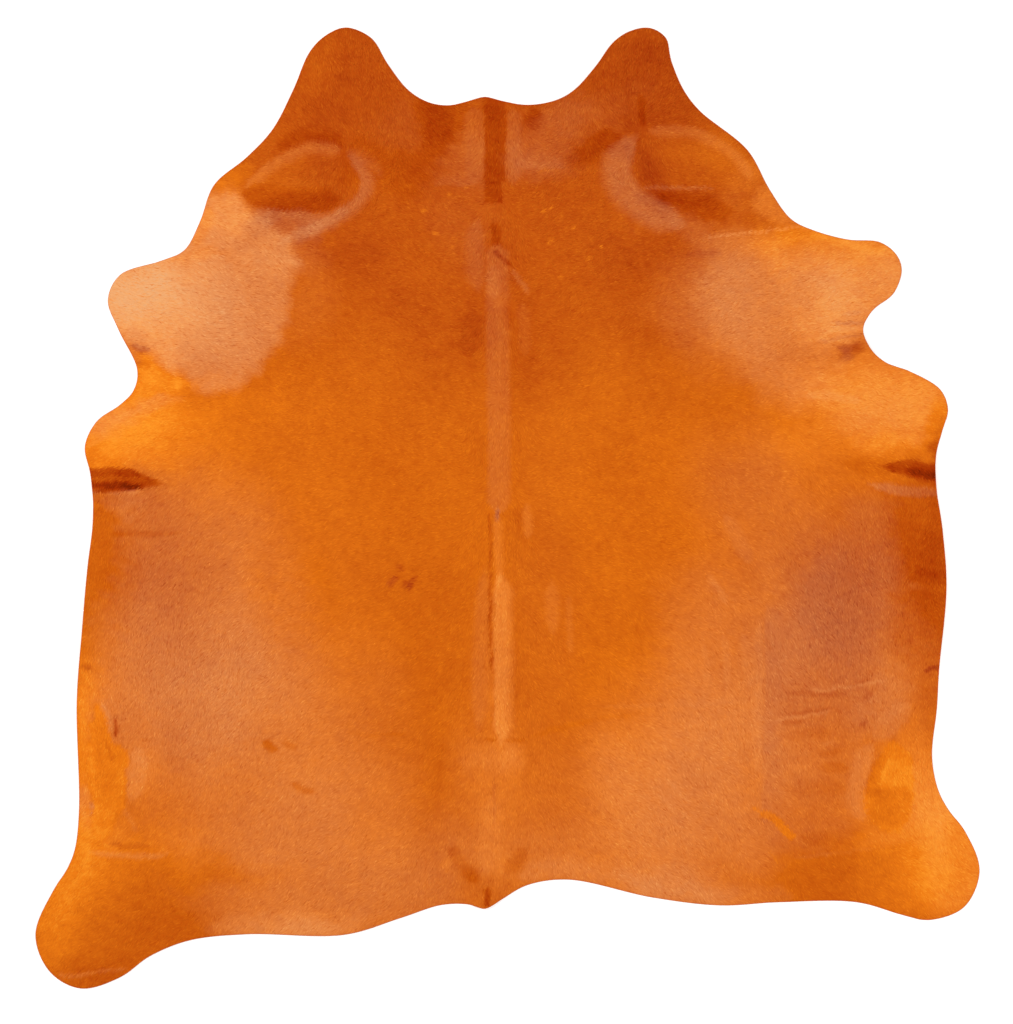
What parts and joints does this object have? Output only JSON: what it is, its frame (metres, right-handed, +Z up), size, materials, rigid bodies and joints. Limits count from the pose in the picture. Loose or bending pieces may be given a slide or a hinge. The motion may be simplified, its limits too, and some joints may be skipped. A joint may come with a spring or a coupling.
{
  "type": "hair-on leather hide, laid flat",
  "caption": "Hair-on cowhide dyed orange brown, laid flat with its neck, leg and flank lobes and soft folds at the flanks, used as a rug or as upholstery leather.",
  "frame": {"origin": "middle of the bounding box's base, on the floor under the middle of the hide", "axes": "+Z up off the floor, out of the hair side; +Y along the spine from the tail to the neck; +X to the hide's right when it is seen from above with the neck away from the viewer"},
  "size_m": [2.124, 2.162, 0.017],
  "materials": {
    "hair_on_leather": "short lying hair dyed orange brown with a soft sheen, suede flesh side underneath"
  },
  "bodies": {
    "root": {"hide": "hair_on_leather"}
  },
  "joints": []
}
